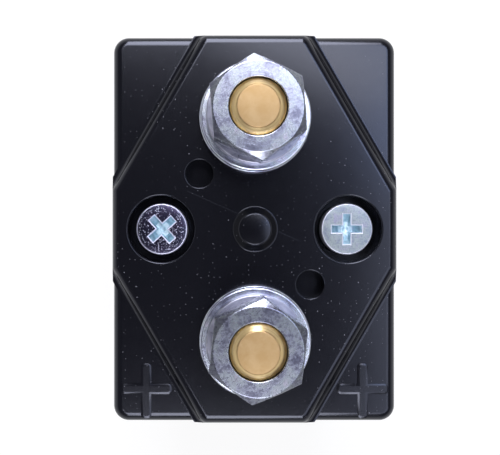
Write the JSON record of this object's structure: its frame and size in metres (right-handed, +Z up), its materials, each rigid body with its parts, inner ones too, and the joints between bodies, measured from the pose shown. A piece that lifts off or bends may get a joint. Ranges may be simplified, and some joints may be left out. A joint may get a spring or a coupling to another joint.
{
  "type": "dc contactor",
  "caption": "Direct-current contactor: moulded black cover with stud terminals above a coil in a U-shaped steel frame, whose plunger lifts a sprung contact bridge.",
  "frame": {"origin": "middle of the frame's flat underside", "axes": "+Z up through the cover to the stud ends, +Y from the positive stud towards the negative stud, +X to the side of the coil tabs"},
  "size_m": [0.044, 0.06, 0.072],
  "materials": {
    "cover_plastic": "moulded thermoset, satin to glossy, fine orange peel",
    "seal_rubber": "matt nitrile",
    "zinc_clear": "clear zinc plate with a blue cast",
    "screw_plate": "bright nickel-like zinc plate",
    "stud_brass": "turned brass, dulled",
    "contact_silver": "silver alloy, fine matt",
    "bridge_copper": "copper, rolled",
    "magnet_ferrite": "pressed ferrite, matt",
    "soft_iron": "turned soft iron, thin plate",
    "frame_zinc": "yellow chromated zinc plate on steel strip",
    "floor_laminate": "brown moulded phenolic",
    "spring_steel": "drawn wire, bright",
    "bobbin_nylon": "natural glass-filled nylon",
    "winding_copper": "enamelled copper wire",
    "coil_tape": "black polyester tape",
    "tab_tin": "tinned brass strip",
    "foam_washer": "closed-cell foam",
    "tube_brass": "drawn brass tube",
    "shim_bronze": "rolled phosphor bronze"
  },
  "bodies": {
    "housing": {"cover": "cover_plastic", "cover_gasket": "seal_rubber", "cover_screws": "screw_plate", "cover_screw_washers": "zinc_clear", "terminal_stud_negative": "stud_brass", "terminal_stud_positive": "stud_brass", "fixed_contact_tips": "contact_silver", "terminal_lower_washers": "zinc_clear", "terminal_upper_washers": "zinc_clear", "terminal_spring_washers": "zinc_clear", "terminal_nuts": "zinc_clear", "blowout_magnets": "magnet_ferrite", "magnet_keepers": "soft_iron", "chamber_floor": "floor_laminate", "return_spring": "spring_steel", "top_plate": "frame_zinc", "yoke_frame": "frame_zinc", "coil_bobbin": "bobbin_nylon", "coil_winding": "winding_copper", "coil_wrap": "coil_tape", "coil_tabs": "tab_tin", "coil_leads": "winding_copper", "coil_washer": "foam_washer", "guide_tube": "tube_brass", "flux_bush": "soft_iron", "fixed_core": "soft_iron", "bottom_buffer": "seal_rubber"},
    "armature": {"plunger": "soft_iron", "pole_shim": "shim_bronze", "push_rod": "screw_plate", "contact_carrier": "bobbin_nylon", "contact_spring": "spring_steel", "spring_seat": "bobbin_nylon", "rod_clip": "spring_steel"},
    "bridge": {"contact_bridge": "bridge_copper", "moving_contact_tips": "contact_silver"}
  },
  "joints": [
    {"name": "armature_slide", "type": "slide", "parent": "housing", "child": "armature", "axis": [0, 0, 1], "range_m": [0, 0.0035], "stiffness_N_per_m": 1100, "springref_m": -0.0055, "deforming": ["return_spring"]},
    {"name": "bridge_slide", "type": "slide", "parent": "armature", "child": "bridge", "axis": [0, 0, 1], "range_m": [-0.001, 0], "stiffness_N_per_m": 3000, "springref_m": 0.001, "deforming": ["contact_spring"]}
  ],
  "couplings": [
    {"joint": "bridge_slide", "follows": "armature_slide", "ratio": -0.28571}
  ]
}
